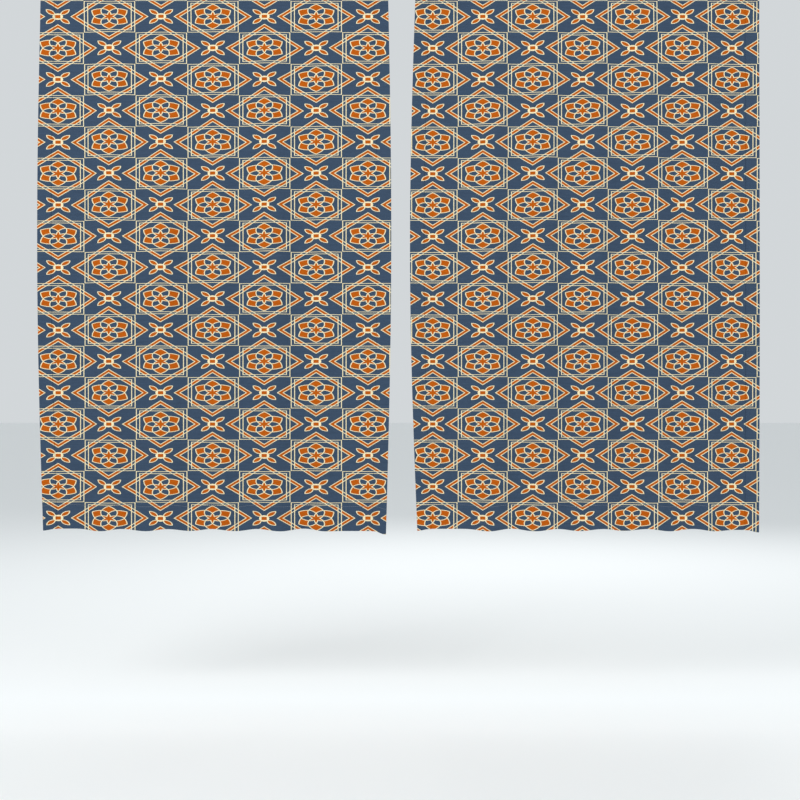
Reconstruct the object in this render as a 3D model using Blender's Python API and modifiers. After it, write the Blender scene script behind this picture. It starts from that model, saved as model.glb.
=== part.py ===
"""A pair of rod-pocket window curtains on a two-tube extending rod with wall brackets.

Metres, +Z up. The origin lies on the wall, midway between the brackets, level with the rod.
The wall is the plane Y = 0 and the curtains hang in front of it, on the -Y side.
"""

import bmesh
import bpy
from math import cos, pi, radians, sin
from mathutils import Matrix, Vector

GAP = 0.0003  # clearance left between pieces that touch
SIDES = {"left": -1, "right": 1}

# rod
ROD_Y = -0.075
ROD_HALF_LENGTH = 0.690
TUBE_WALL = 0.0008
OUTER_R = 0.0095
OUTER_LENGTH = 0.900
INNER_R = 0.0080
INNER_LENGTH = 0.860
COLLAR_R = 0.0101
COLLAR_LENGTH = 0.006
GUIDE_LENGTH = 0.015
END_R = {"left": OUTER_R, "right": INNER_R}

# finials
BALL_R = 0.019
NECK_R = 0.0110
NECK_WAIST_R = 0.0065
NECK_LENGTH = 0.009
PLUG_LENGTH = 0.018
STUD_R = 0.0025

# brackets
BRACKET_X = 0.668
CRADLE_WIDTH = 0.014
CRADLE_WALL = 0.003
CRADLE_CLEARANCE = 0.0004
FRONT_ARM_TOP = 0.016
WALL_ARM_TOP = 0.038
CRADLE_CORNER = 0.006
POST_R = 0.0045
SPIGOT_R = 0.0030
PLATE_Z = 0.030
PLATE_R = 0.026
PLATE_THICKNESS = 0.005
SCREW_OFFSET = 0.016
SCREW_R = 0.0019
SCREW_HEAD_R = 0.0040
SCREW_HEAD_DEPTH = 0.0023
SCREW_REACH = 0.026
ANCHOR_R = 0.0030
ANCHOR_LENGTH = 0.025

# thumbscrews
THUMB_R = 0.0020
THUMB_HEAD_R = 0.0065
THUMB_HEAD_LENGTH = 0.007
THUMB_STANDOFF = 0.0025
TIP_R = 0.0017
TIP_LENGTH = 0.0012

# curtains
HEM_Z = -0.9635
HEADER_TOP = 0.028
HEADER_BASE = 0.0158
STITCH_Z = -0.0232
POCKET_R = 0.0115
LAYER_OFFSET = 0.0007
CLOTH = 0.0010
HEM_THICKNESS = 0.0022
SIDE_HEM = 0.025
BOTTOM_HEM = 0.045
CLOTH_GAP = 0.0005
FOLD_DEPTH = 0.0068
FOLDS = 5.5
# per side: X at the rod, how far it swells outward halfway down, how far it leans outward at the hem
OUTER_EDGE = {"left": (0.638, 0.009, -0.003), "right": (0.638, 0.003, -0.006)}
LEADING_EDGE = {"left": (0.0195, -0.0075, 0.009), "right": (0.0250, -0.0115, 0.007)}
FOLD_PHASE = {"left": 0.4, "right": 2.1}

FINISHES = {  # sRGB colour, metallic, roughness
    "satin_nickel": ((0.72, 0.70, 0.67), 1.0, 0.32),
    "bright_steel": ((0.75, 0.75, 0.76), 1.0, 0.25),
    "white_plastic": ((0.90, 0.89, 0.86), 0.0, 0.45),
    "grey_plastic": ((0.55, 0.56, 0.57), 0.0, 0.50),
    "printed_cotton": ((0.55, 0.45, 0.37), 0.0, 0.90),
    "hem_cotton": ((0.70, 0.60, 0.45), 0.0, 0.90),
}


def clear_scene():
    for obj in list(bpy.data.objects):
        bpy.data.objects.remove(obj, do_unlink=True)


def new_collection(name):
    found = bpy.data.collections.get(name) or bpy.data.collections.new(name)
    if found.name not in bpy.context.scene.collection.children:
        bpy.context.scene.collection.children.link(found)
    return found


def linear(channel):
    return channel / 12.92 if channel <= 0.04045 else ((channel + 0.055) / 1.055) ** 2.4


def finish(name):
    if name in bpy.data.materials:
        return bpy.data.materials[name]
    colour, metallic, roughness = FINISHES[name]
    material = bpy.data.materials.new(name)
    material.use_nodes = True
    shader = material.node_tree.nodes["Principled BSDF"]
    shader.inputs["Base Color"].default_value = (*[linear(c) for c in colour], 1)
    shader.inputs["Metallic"].default_value = metallic
    shader.inputs["Roughness"].default_value = roughness
    return material


def new_object(name, mesh, material, place=(0, 0, 0), up=(0, 0, 1)):
    """An object in the parts' collection, its local Z turned to point along up."""
    obj = bpy.data.objects.new(name, mesh)
    obj.location = place
    obj.rotation_euler = Vector((0, 0, 1)).rotation_difference(Vector(up)).to_euler()
    obj.data.materials.append(finish(material))
    PARTS.objects.link(obj)
    return obj


def turned(name, profile, material, place, up, steps=40):
    """A solid of revolution about up through place. The profile's (radius, height) points run down
    its outer side; it is open where it starts and ends on the axis, and a closed loop otherwise."""
    mesh = bpy.data.meshes.new(name)
    loop = profile[0][0] > 0
    count = len(profile)
    edges = [(i, (i + 1) % count) for i in range(count if loop else count - 1)]
    mesh.from_pydata([(radius, 0, height) for radius, height in profile], edges, [])
    obj = new_object(name, mesh, material, place, up)
    screw = obj.modifiers.new("Turn", "SCREW")
    screw.steps = screw.render_steps = steps
    screw.use_merge_vertices = True
    screw.merge_threshold = 0.00005
    return obj


def tube_profile(outer, inner, low, high):
    return [(outer, high), (outer, low), (inner, low), (inner, high)]


def as_cutter(obj):
    PARTS.objects.unlink(obj)
    CUTTERS.objects.link(obj)
    obj.hide_render = True
    obj.display_type = "WIRE"
    return obj


def cut(obj, *cutters):
    for cutter in cutters:
        boolean = obj.modifiers.new(f"Cut {cutter.name}", "BOOLEAN")
        boolean.operation = "DIFFERENCE"
        boolean.solver = "EXACT"
        boolean.object = cutter


def drill(name, radius, length, place, up):
    """A plain round cutter centred on place."""
    profile = [(0, length / 2), (radius, length / 2), (radius, -length / 2), (0, -length / 2)]
    return as_cutter(turned(name, profile, "bright_steel", place, up, steps=24))


# rod ---------------------------------------------------------------------------------------------


def build_rod():
    along = (1, 0, 0)
    axis = (0, ROD_Y, 0)
    outer_end = -ROD_HALF_LENGTH + OUTER_LENGTH
    inner_end = ROD_HALF_LENGTH - INNER_LENGTH
    outer_bore = OUTER_R - TUBE_WALL
    inner_bore = INNER_R - TUBE_WALL
    outer = tube_profile(OUTER_R, outer_bore, -ROD_HALF_LENGTH, outer_end)
    turned("outer_rod_tube", outer, "satin_nickel", axis, along)
    inner = tube_profile(INNER_R, inner_bore, inner_end, ROD_HALF_LENGTH)
    turned("inner_rod_tube", inner, "satin_nickel", axis, along)

    collar_start = outer_end + GAP
    collar = tube_profile(COLLAR_R, INNER_R + GAP, collar_start, collar_start + COLLAR_LENGTH)
    turned("tube_mouth_collar", collar, "white_plastic", axis, along)

    face = inner_end - GAP
    guide = [
        (0, inner_end + GUIDE_LENGTH),
        (inner_bore - GAP, inner_end + GUIDE_LENGTH),
        (inner_bore - GAP, face),
        (outer_bore - GAP, face),
        (outer_bore - GAP, face - 0.004),
        (0, face - 0.004),
    ]
    turned("inner_tube_guide", guide, "white_plastic", axis, along)


def build_finial(side, sign):
    """Plug in the tube, neck against its end, ball on the neck, and the stud that joins all three."""
    along = (sign, 0, 0)
    end = (sign * ROD_HALF_LENGTH, ROD_Y, 0)
    plug_r = END_R[side] - TUBE_WALL - GAP
    hole = STUD_R + GAP
    neck_start = GAP
    ball_start = neck_start + NECK_LENGTH + GAP
    hole_depth = 0.012
    stud_start = -PLUG_LENGTH + 0.004

    plug = tube_profile(plug_r, hole, -PLUG_LENGTH, 0)
    turned(f"{side}_finial_plug", plug, "grey_plastic", end, along)

    neck = [
        (NECK_R, neck_start + 0.003),
        (NECK_R, neck_start),
        (hole, neck_start),
        (hole, neck_start + NECK_LENGTH),
        (NECK_WAIST_R + 0.0015, neck_start + NECK_LENGTH),
        (NECK_WAIST_R, neck_start + NECK_LENGTH - 0.002),
        (NECK_WAIST_R, neck_start + 0.0045),
    ]
    turned(f"{side}_finial_neck", neck, "satin_nickel", end, along)

    flat_r = NECK_WAIST_R + 0.0015
    start_angle = pi - Vector((1, 0)).angle(Vector(((BALL_R**2 - flat_r**2) ** 0.5, flat_r)))
    centre = ball_start - BALL_R * cos(start_angle)
    rounds = 14
    ball = [
        (BALL_R * sin(start_angle * i / rounds), centre + BALL_R * cos(start_angle * i / rounds))
        for i in range(rounds + 1)
    ]
    ball[0] = (0, centre + BALL_R)
    ball += [(hole, ball_start), (hole, ball_start + hole_depth), (0, ball_start + hole_depth)]
    turned(f"{side}_finial_ball", ball, "satin_nickel", end, along)

    stud_end = ball_start + hole_depth - GAP
    stud = [(0, stud_end), (STUD_R, stud_end), (STUD_R, stud_start), (0, stud_start)]
    turned(f"{side}_finial_stud", stud, "bright_steel", end, along, steps=20)


# brackets ----------------------------------------------------------------------------------------


def cradle_outline(bore, wall):
    """The cradle's U in (depth, height), from the top of the wall-side arm round to the other arm."""
    half = bore + wall
    steps = 5
    corner = []
    for i in range(steps + 1):
        turn = -i * pi / 2 / steps
        corner.append(
            (
                half - CRADLE_CORNER + CRADLE_CORNER * cos(turn),
                -half + CRADLE_CORNER + CRADLE_CORNER * sin(turn),
            )
        )
    points = [(half, WALL_ARM_TOP), *corner]
    points += [(-depth, height) for depth, height in reversed(corner)]
    points.append((-half, FRONT_ARM_TOP))
    seat = 18
    points += [(-bore * cos(pi * i / seat), -bore * sin(pi * i / seat)) for i in range(seat + 1)]
    points.insert(-seat - 1, (-bore, FRONT_ARM_TOP))
    points.append((bore, WALL_ARM_TOP))
    return points


def build_cradle(side, sign):
    bore = END_R[side] + CRADLE_CLEARANCE
    name = f"{side}_cradle"
    curve = bpy.data.curves.new(name, "CURVE")
    curve.dimensions = "2D"
    curve.fill_mode = "BOTH"
    curve.extrude = CRADLE_WIDTH / 2
    outline = cradle_outline(bore, CRADLE_WALL)
    spline = curve.splines.new("POLY")
    spline.points.add(len(outline) - 1)
    for point, (depth, height) in zip(spline.points, outline):
        point.co = (depth, height, 0, 1)
    spline.use_cyclic_u = True
    drawn = bpy.data.objects.new(name, curve)
    PARTS.objects.link(drawn)
    bpy.context.view_layer.update()
    mesh = bpy.data.meshes.new_from_object(drawn.evaluated_get(bpy.context.evaluated_depsgraph_get()))
    bpy.data.objects.remove(drawn, do_unlink=True)

    # the outline's width and height become world Y and Z, and its thickness world X
    mesh.transform(Matrix(((0, 0, 1, 0), (1, 0, 0, 0), (0, 1, 0, 0), (0, 0, 0, 1))))
    weld = bmesh.new()
    weld.from_mesh(mesh)
    bmesh.ops.remove_doubles(weld, verts=weld.verts, dist=0.00001)
    bmesh.ops.recalc_face_normals(weld, faces=weld.faces)
    weld.to_mesh(mesh)
    weld.free()
    mesh.materials.clear()
    mesh.name = name

    centre = Vector((sign * BRACKET_X, ROD_Y, 0))
    cradle = new_object(name, mesh, "satin_nickel", centre)
    wall_middle = bore + CRADLE_WALL / 2
    hole_length = CRADLE_WALL * 2
    back = centre + Vector((0, wall_middle, PLATE_Z))
    front = centre - Vector((0, wall_middle, 0))
    cut(
        cradle,
        drill(f"{side}_cradle_post_hole", SPIGOT_R + GAP, hole_length, back, (0, 1, 0)),
        drill(f"{side}_cradle_screw_hole", THUMB_R + GAP, hole_length, front, (0, 1, 0)),
    )


def build_post(side, sign):
    """A round post with a spigot at each end, in the wall plate and in the cradle's back."""
    to_cradle = -ROD_Y - END_R[side] - CRADLE_CLEARANCE - CRADLE_WALL
    front = to_cradle - GAP
    back = PLATE_THICKNESS + GAP
    profile = [
        (0, to_cradle + CRADLE_WALL - GAP),
        (SPIGOT_R, to_cradle + CRADLE_WALL - GAP),
        (SPIGOT_R, front),
        (POST_R, front),
        (POST_R, back + 0.006),
        (POST_R + 0.003, back + 0.002),
        (POST_R + 0.003, back),
        (SPIGOT_R, back),
        (SPIGOT_R, 0.001),
        (0, 0.001),
    ]
    place = (sign * BRACKET_X, 0, PLATE_Z)
    turned(f"{side}_post", profile, "satin_nickel", place, (0, -1, 0), steps=28)


def build_plate(side, sign):
    place = Vector((sign * BRACKET_X, 0, PLATE_Z))
    front = PLATE_THICKNESS
    profile = [
        (0, front),
        (PLATE_R - 0.002, front),
        (PLATE_R - 0.0006, front - 0.0006),
        (PLATE_R, front - 0.002),
        (PLATE_R, 0),
        (0, 0),
    ]
    plate = turned(f"{side}_wall_plate", profile, "satin_nickel", place, (0, -1, 0), steps=56)
    cut(plate, drill(f"{side}_plate_post_hole", SPIGOT_R + GAP, 0.02, place, (0, 1, 0)))
    sink = SCREW_HEAD_R + GAP
    bore = SCREW_R + GAP
    for level, height in {"upper": SCREW_OFFSET, "lower": -SCREW_OFFSET}.items():
        countersink = [
            (0, front + 0.002),
            (sink, front + 0.002),
            (sink, front - 0.0002),
            (bore, front - 0.0002 - SCREW_HEAD_DEPTH),
            (bore, -0.002),
            (0, -0.002),
        ]
        where = place + Vector((0, 0, height))
        name = f"{side}_{level}_countersink"
        cut(plate, as_cutter(turned(name, countersink, "bright_steel", where, (0, -1, 0), steps=24)))
        build_wall_screw(f"{side}_{level}", where)


def build_wall_screw(name, where):
    """A countersunk wood screw through the plate, and the plastic anchor round it in the wall."""
    head = PLATE_THICKNESS - 0.0005
    screw = [
        (0, head),
        (SCREW_HEAD_R, head),
        (SCREW_R, head - SCREW_HEAD_DEPTH),
        (SCREW_R, -SCREW_REACH + 0.005),
        (0, -SCREW_REACH),
    ]
    turned(f"{name}_wall_screw", screw, "bright_steel", where, (0, -1, 0), steps=20)
    sleeve = tube_profile(ANCHOR_R, SCREW_R + GAP, -GAP - ANCHOR_LENGTH, -GAP)
    turned(f"{name}_wall_anchor", sleeve, "grey_plastic", where, (0, -1, 0), steps=20)


def build_thumbscrew(side, sign):
    """The screw through the cradle's front arm that holds the rod down, and its nylon tip."""
    axis = (sign * BRACKET_X, ROD_Y, 0)
    tip_start = END_R[side] + GAP
    shank_start = tip_start + TIP_LENGTH + GAP
    head_start = END_R[side] + CRADLE_CLEARANCE + CRADLE_WALL + THUMB_STANDOFF
    head_end = head_start + THUMB_HEAD_LENGTH
    tip = [
        (0, tip_start + TIP_LENGTH),
        (TIP_R, tip_start + TIP_LENGTH),
        (TIP_R, tip_start),
        (0, tip_start),
    ]
    turned(f"{side}_thumbscrew_tip", tip, "white_plastic", axis, (0, -1, 0), steps=16)
    screw = [
        (0, head_end),
        (THUMB_HEAD_R - 0.0008, head_end),
        (THUMB_HEAD_R, head_end - 0.0008),
        (THUMB_HEAD_R, head_start + 0.0015),
        (THUMB_HEAD_R - 0.0025, head_start),
        (THUMB_R, head_start),
        (THUMB_R, shank_start),
        (0, shank_start),
    ]
    turned(f"{side}_thumbscrew", screw, "satin_nickel", axis, (0, -1, 0), steps=24)


# curtains ----------------------------------------------------------------------------------------


def edge_x(edges, side, drop):
    at_rod, swell, lean = edges[side]
    return SIDES[side] * (at_rod + swell * sin(pi * drop) + lean * drop)


def fold_depth(side, across, drop):
    """How far the drape stands out of its mean plane: soft folds that open out below the rod."""
    grow = 0.22 + 0.78 * min(1, drop / 0.45)
    turn = 2 * pi * FOLDS * across + FOLD_PHASE[side]
    return FOLD_DEPTH * grow * (sin(turn) + 0.3 * sin(0.43 * turn + 1.0)) / 1.15


def drape_point(side, x_of, share, height):
    """A point of the hanging cloth, from the rod's axis; share runs 0 to 1 between x_of's two edges."""
    drop = height / HEM_Z
    start, end = x_of(drop)
    x = start + (end - start) * share
    outer, leading = edge_x(OUTER_EDGE, side, drop), edge_x(LEADING_EDGE, side, drop)
    across = (x - outer) / (leading - outer)
    return Vector((x, fold_depth(side, across, drop), height))


def cloth(name, columns, rows, point, thickness, material):
    """A grid shaped by point, which takes its two shares, and given thickness. Its origin is on the
    rod's axis, about which the curtain swings."""
    grid = bmesh.new()
    bmesh.ops.create_grid(grid, x_segments=columns, y_segments=rows, size=0.5)
    for vertex in grid.verts:
        vertex.co = point(vertex.co.x + 0.5, vertex.co.y + 0.5)
    mesh = bpy.data.meshes.new(name)
    grid.to_mesh(mesh)
    grid.free()
    obj = new_object(name, mesh, material, (0, ROD_Y, 0))
    solidify = obj.modifiers.new("Cloth", "SOLIDIFY")
    solidify.thickness = thickness
    solidify.offset = 0
    return obj


def heading_path():
    """The heading's section in (depth, height): up behind the rod, over the header, down in front."""
    seat = 12
    back = [(LAYER_OFFSET, STITCH_Z)]
    for i in range(seat + 1):
        turn = radians(150 - 115 * i / seat)
        back.append((POCKET_R * sin(turn), POCKET_R * cos(turn)))
    back += [(LAYER_OFFSET, HEADER_BASE), (LAYER_OFFSET, HEADER_TOP - CLOTH / 2 - LAYER_OFFSET)]
    top = [(0, HEADER_TOP - CLOTH / 2)]
    return back + top + [(-depth, height) for depth, height in reversed(back)]


def seam_edges(side, low, high):
    """A function of drop that gives the X of two marks across a curtain, each of them an edge or the
    inner side of a side hem, trimmed to leave a gap at a seam."""
    sign = SIDES[side]

    def edges(drop):
        outer, leading = edge_x(OUTER_EDGE, side, drop), edge_x(LEADING_EDGE, side, drop)
        marks = {
            "outer": outer,
            "outer_seam": outer - sign * SIDE_HEM,
            "leading_seam": leading + sign * SIDE_HEM,
            "leading": leading,
        }
        trim = sign * CLOTH_GAP / 2
        start = marks[low] - (trim if low.endswith("seam") else 0)
        end = marks[high] + (trim if high.endswith("seam") else 0)
        return start, end

    return edges


def build_heading(side, name, low, high):
    """The header and the rod pocket below it, over one stretch of the curtain's width."""
    path = heading_path()
    start, end = seam_edges(side, low, high)(0)

    def point(share, along):
        depth, height = path[round(along * (len(path) - 1))]
        return Vector((start + (end - start) * share, depth, height))

    cloth(f"{side}_{name}", 1, len(path) - 1, point, CLOTH, "printed_cotton")


def build_strip(side, name, cells, marks, heights, thickness, material):
    """A piece of the hanging cloth between two marks across it and two heights."""
    edges = seam_edges(side, *marks)
    upper, lower = heights

    def point(share, down):
        return drape_point(side, edges, share, upper + (lower - upper) * down)

    cloth(f"{side}_{name}", *cells, point, thickness, material)


def build_curtain(side):
    top = STITCH_Z - CLOTH_GAP
    hem_top = HEM_Z + BOTTOM_HEM
    outer = ("outer", "outer_seam")
    middle = ("outer_seam", "leading_seam")
    leading = ("leading_seam", "leading")
    build_heading(side, "outer_heading", *outer)
    build_heading(side, "heading", *middle)
    build_heading(side, "leading_heading", *leading)
    above_hem = (top, hem_top + CLOTH_GAP)
    whole = (top, HEM_Z)
    build_strip(side, "panel", (40, 9), middle, above_hem, CLOTH, "printed_cotton")
    build_strip(side, "bottom_hem", (40, 1), middle, (hem_top, HEM_Z), HEM_THICKNESS, "hem_cotton")
    build_strip(side, "outer_hem", (2, 10), outer, whole, HEM_THICKNESS, "hem_cotton")
    build_strip(side, "leading_hem", (2, 10), leading, whole, HEM_THICKNESS, "hem_cotton")


clear_scene()
PARTS = new_collection("window_curtains_on_a_rod")
CUTTERS = new_collection("cutters")
build_rod()
for side_name, side_sign in SIDES.items():
    build_finial(side_name, side_sign)
    build_plate(side_name, side_sign)
    build_post(side_name, side_sign)
    build_cradle(side_name, side_sign)
    build_thumbscrew(side_name, side_sign)
    build_curtain(side_name)
print(f"{len(PARTS.objects)} sub-parts")
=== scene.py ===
# %% [markdown]
# # Two short curtains on an extending rod
#
# A pair of printed cotton kitchen curtains hangs from a steel rod by a sewn pocket. The rod is two
# tubes, one sliding in the other, and it lies in two open cradles on wall brackets.
#
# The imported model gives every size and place. This lesson makes the pieces that are seen: the cloth
# with its turned hems, the turned metalwork, and a material for each real surface.

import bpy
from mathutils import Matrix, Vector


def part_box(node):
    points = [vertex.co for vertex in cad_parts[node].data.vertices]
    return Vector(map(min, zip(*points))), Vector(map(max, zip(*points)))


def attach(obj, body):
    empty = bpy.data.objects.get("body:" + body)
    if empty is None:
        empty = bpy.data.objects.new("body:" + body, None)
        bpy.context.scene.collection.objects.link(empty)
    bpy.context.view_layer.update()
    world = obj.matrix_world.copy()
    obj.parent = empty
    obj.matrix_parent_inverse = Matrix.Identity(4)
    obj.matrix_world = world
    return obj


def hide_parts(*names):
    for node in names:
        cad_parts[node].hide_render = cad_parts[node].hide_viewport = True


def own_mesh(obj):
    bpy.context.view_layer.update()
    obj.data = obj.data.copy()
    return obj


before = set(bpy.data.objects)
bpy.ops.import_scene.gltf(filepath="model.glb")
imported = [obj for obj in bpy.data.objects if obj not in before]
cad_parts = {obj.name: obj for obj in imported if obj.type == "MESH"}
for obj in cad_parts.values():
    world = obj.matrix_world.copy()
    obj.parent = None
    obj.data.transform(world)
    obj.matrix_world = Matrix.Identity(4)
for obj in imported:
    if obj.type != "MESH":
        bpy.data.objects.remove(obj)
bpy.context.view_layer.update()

# %% [markdown]
# ## Names for the sizes
#
# X runs along the rod, Y goes into the wall, Z is up. The sizes come from the boxes of the model's
# nodes, so each piece lands where the structure says. Only the run of the cloth's four edges is
# written here: how far from the middle each is at the rod, how much it swells, and how much it leans.

# %% Sizes read from the frame
from math import atan2, cos, exp, pi, radians, sin

import bmesh
import bpy
from mathutils import Matrix, Vector, noise

SIDES = {"left": -1, "right": 1}


def low(node):
    return Vector([float(c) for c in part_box(node)[0]])


def high(node):
    return Vector([float(c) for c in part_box(node)[1]])


def middle(node):
    return (low(node) + high(node)) / 2


ROD = middle("outer_rod_tube")
OUTER_R = (high("outer_rod_tube").z - low("outer_rod_tube").z) / 2
INNER_R = (high("inner_rod_tube").z - low("inner_rod_tube").z) / 2
END_R = {"left": OUTER_R, "right": INNER_R}
STITCH_Z = low("left_heading").z
HEADER_TOP = high("left_heading").z
HEM_Z = low("left_bottom_hem").z
BOTTOM_HEM = high("left_bottom_hem").z - HEM_Z
SIDE_HEM = 0.025
HEADER = 0.0122  # the frill that stands above the pocket
OUTER_EDGE = {"left": (0.638, 0.009, -0.003), "right": (0.638, 0.002, 0.0015)}
LEADING_EDGE = {"left": (0.0215, -0.0075, 0.0035), "right": (0.0280, -0.0115, 0.003)}
print(f"tubes {OUTER_R * 2000:.0f} and {INNER_R * 2000:.0f} mm, hem at {HEM_Z:.4f} m")

# %% [markdown]
# ## Two small tools for materials
#
# Colours are written as sRGB hex, the way a paint chart gives them, and one function turns them to
# the linear values that shaders work in. A second function adds a node, sets it and links it, so that
# a material reads as a list of what it is made of.

# %% Colour and node helpers


def colour(code):
    """An sRGB hex code as linear red, green, blue and alpha."""
    values = [int(code[i : i + 2], 16) / 255 for i in (1, 3, 5)]
    return (*[c / 12.92 if c <= 0.04045 else ((c + 0.055) / 1.055) ** 2.4 for c in values], 1.0)


def add(tree, kind, inputs=None, **settings):
    """A node of a kind with its settings; inputs maps a socket to a value or to another socket."""
    node = tree.nodes.new(kind)
    for name, value in settings.items():
        setattr(node, name, value)
    for socket, value in (inputs or {}).items():
        if isinstance(value, bpy.types.NodeSocket):
            tree.links.new(value, node.inputs[socket])
        else:
            node.inputs[socket].default_value = value
    return node


def new_material(name, roughness, metallic=0.0, **sockets):
    """A material and its main shader, with what is constant set on the shader itself."""
    material = bpy.data.materials.new(name)
    material.use_nodes = True
    shader = material.node_tree.nodes["Principled BSDF"]
    shader.inputs["Roughness"].default_value = roughness
    shader.inputs["Metallic"].default_value = metallic
    for socket, value in sockets.items():
        shader.inputs[socket.replace("_", " ")].default_value = value
    return material, shader


# %% [markdown]
# ## The printed pattern
#
# The cotton carries an old geometric pattern in slate blue, rust orange and cream. It is a
# checkerboard of two oblong cells: a rosette inside two line frames, and a small four-petalled
# flower. A line diamond runs from each rosette cell into the four flower cells around it.
#
# An image would fix the print at one resolution. Working it out from distances keeps it sharp at any
# zoom: every line is the places whose distance from some circle or edge is under half a line's width.
# The cell is treated as a square from -0.5 to 0.5, and the cloth stretches it to its real oblong.
#
# Each step below is one line: the name of the result, the sum, and what goes in.

# %% The print's steps
CELL_WIDTH = 0.0951  # flat cloth, metres
CELL_HEIGHT = 0.0557
LINE = 0.0185  # a cream line's width, as a share of the cell
FRAME_LINE = 0.016
DIAMOND_LINE = 0.025  # measured along an axis, which the line crosses at a slant
PETAL_R = 0.2237  # radius of the circles whose overlaps draw the rosette
TIP_R = 0.3841  # a flatter circle that draws each petal out to a point

CELL_STEPS = [
    ("column", "ROUND", "x"),
    ("row", "ROUND", "y"),
    ("a_signed", "SUBTRACT", "x", "column"),
    ("b_signed", "SUBTRACT", "y", "row"),
    ("a", "ABSOLUTE", "a_signed"),
    ("b", "ABSOLUTE", "b_signed"),
    ("count", "ADD", "column", "row"),
    ("flower_cell", "FLOORED_MODULO", "count", 2.0),
    ("rosette_cell", "SUBTRACT", 1.0, "flower_cell"),
    ("widest", "MAXIMUM", "a", "b"),
    ("radius_x", "MULTIPLY", "a", "a"),
    ("radius_y", "MULTIPLY", "b", "b"),
    ("radius_squared", "ADD", "radius_x", "radius_y"),
    ("radius", "SQRT", "radius_squared"),
]
DIAMOND_STEPS = [
    ("sum", "ADD", "a", "b"),
    ("difference", "SUBTRACT", "a", "b"),
    ("apart", "ABSOLUTE", "difference"),
    ("from_flower", "SUBTRACT", 1.0, "apart"),
    ("in_rosette", "MULTIPLY", "sum", "rosette_cell"),
    ("in_flower", "MULTIPLY", "from_flower", "flower_cell"),
    ("diamond", "ADD", "in_rosette", "in_flower"),
    ("to_outer", "SUBTRACT", "diamond", 0.746),
    ("to_inner", "SUBTRACT", "diamond", 0.643),
    ("outer_gap", "ABSOLUTE", "to_outer"),
    ("inner_gap", "ABSOLUTE", "to_inner"),
    ("diamond_gap", "MINIMUM", "outer_gap", "inner_gap"),
    ("diamond_line", "LESS_THAN", "diamond_gap", DIAMOND_LINE / 2),
    ("below_outer", "LESS_THAN", "diamond", 0.746),
    ("above_inner", "GREATER_THAN", "diamond", 0.643),
    ("diamond_band", "MULTIPLY", "below_outer", "above_inner"),
]
FRAME_STEPS = [
    ("to_edge", "SUBTRACT", "widest", 0.488),
    ("to_frame", "SUBTRACT", "widest", 0.4225),
    ("edge_gap", "ABSOLUTE", "to_edge"),
    ("frame_gap", "ABSOLUTE", "to_frame"),
    ("line_gap", "MINIMUM", "edge_gap", "frame_gap"),
    ("near_line", "LESS_THAN", "line_gap", FRAME_LINE / 2),
    ("frame_line", "MULTIPLY", "near_line", "rosette_cell"),
    ("past_frame", "GREATER_THAN", "widest", 0.4225),
    ("inside_edge", "LESS_THAN", "widest", 0.488),
    ("between", "MULTIPLY", "past_frame", "inside_edge"),
    ("strip", "MULTIPLY", "between", "rosette_cell"),
    ("not_strip", "SUBTRACT", 1.0, "strip"),
    ("band_orange", "MULTIPLY", "diamond_band", "not_strip"),
]


def circle_steps(name, x, y, radius=PETAL_R):
    """Steps for how far a place is outside a circle centred on (x, y) of the folded cell."""
    return [
        (f"{name}_x", "SUBTRACT", "fold_x", x),
        (f"{name}_y", "SUBTRACT", "fold_y", y),
        (f"{name}_xx", "MULTIPLY", f"{name}_x", f"{name}_x"),
        (f"{name}_yy", "MULTIPLY", f"{name}_y", f"{name}_y"),
        (f"{name}_sum", "ADD", f"{name}_xx", f"{name}_yy"),
        (f"{name}_root", "SQRT", f"{name}_sum"),
        (f"{name}_away", "SUBTRACT", f"{name}_root", radius),
    ]


def edge_steps(name):
    """Steps for the inside of a shape and for the cream line on its edge."""
    return [
        (f"{name}_gap", "ABSOLUTE", f"{name}_away"),
        (f"in_{name}", "LESS_THAN", f"{name}_away", 0.0),
        (f"{name}_line", "LESS_THAN", f"{name}_gap", LINE / 2),
    ]


# The rosette repeats every sixth of a turn and is its own mirror image, so one twelfth of it is
# enough: the angle is folded back and forth over 30 degrees, and four circles do the rest.
ROSETTE_STEPS = [
    ("angle", "ARCTAN2", "a", "b"),
    ("folded", "PINGPONG", "angle", pi / 6),
    ("fold_sine", "SINE", "folded"),
    ("fold_cosine", "COSINE", "folded"),
    ("fold_x", "MULTIPLY", "radius", "fold_sine"),
    ("fold_y", "MULTIPLY", "radius", "fold_cosine"),
    *circle_steps("round", -0.0613, 0.1804),
    *circle_steps("tip", -0.1882, 0.0580, TIP_R),
    ("own_away", "MAXIMUM", "round_away", "tip_away"),
    *edge_steps("own"),
    *circle_steps("next", 0.1869, 0.0371),
    *edge_steps("next"),
    *circle_steps("last", -0.1869, 0.0371),
    *edge_steps("last"),
    ("off_next", "SUBTRACT", 1.0, "in_next"),
    ("petal", "MULTIPLY", "in_own", "off_next"),
    ("petal_or_star", "MAXIMUM", "petal", "in_last"),
    ("rosette_orange", "MULTIPLY", "petal_or_star", "rosette_cell"),
    ("next_inside", "MULTIPLY", "next_line", "in_own"),
    ("two_lines", "MAXIMUM", "own_line", "next_inside"),
    ("three_lines", "MAXIMUM", "two_lines", "last_line"),
    ("not_far", "LESS_THAN", "radius", 0.42),
    ("rosette_near", "MULTIPLY", "three_lines", "not_far"),
    ("rosette_line", "MULTIPLY", "rosette_near", "rosette_cell"),
]
PETAL_FROM = 0.081
PETAL_TO = 0.311
PETAL_HALF = 0.051
HALF_SPAN = (PETAL_TO - PETAL_FROM) / 2
BOW_R = (HALF_SPAN**2 + PETAL_HALF**2) / (2 * PETAL_HALF)
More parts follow.
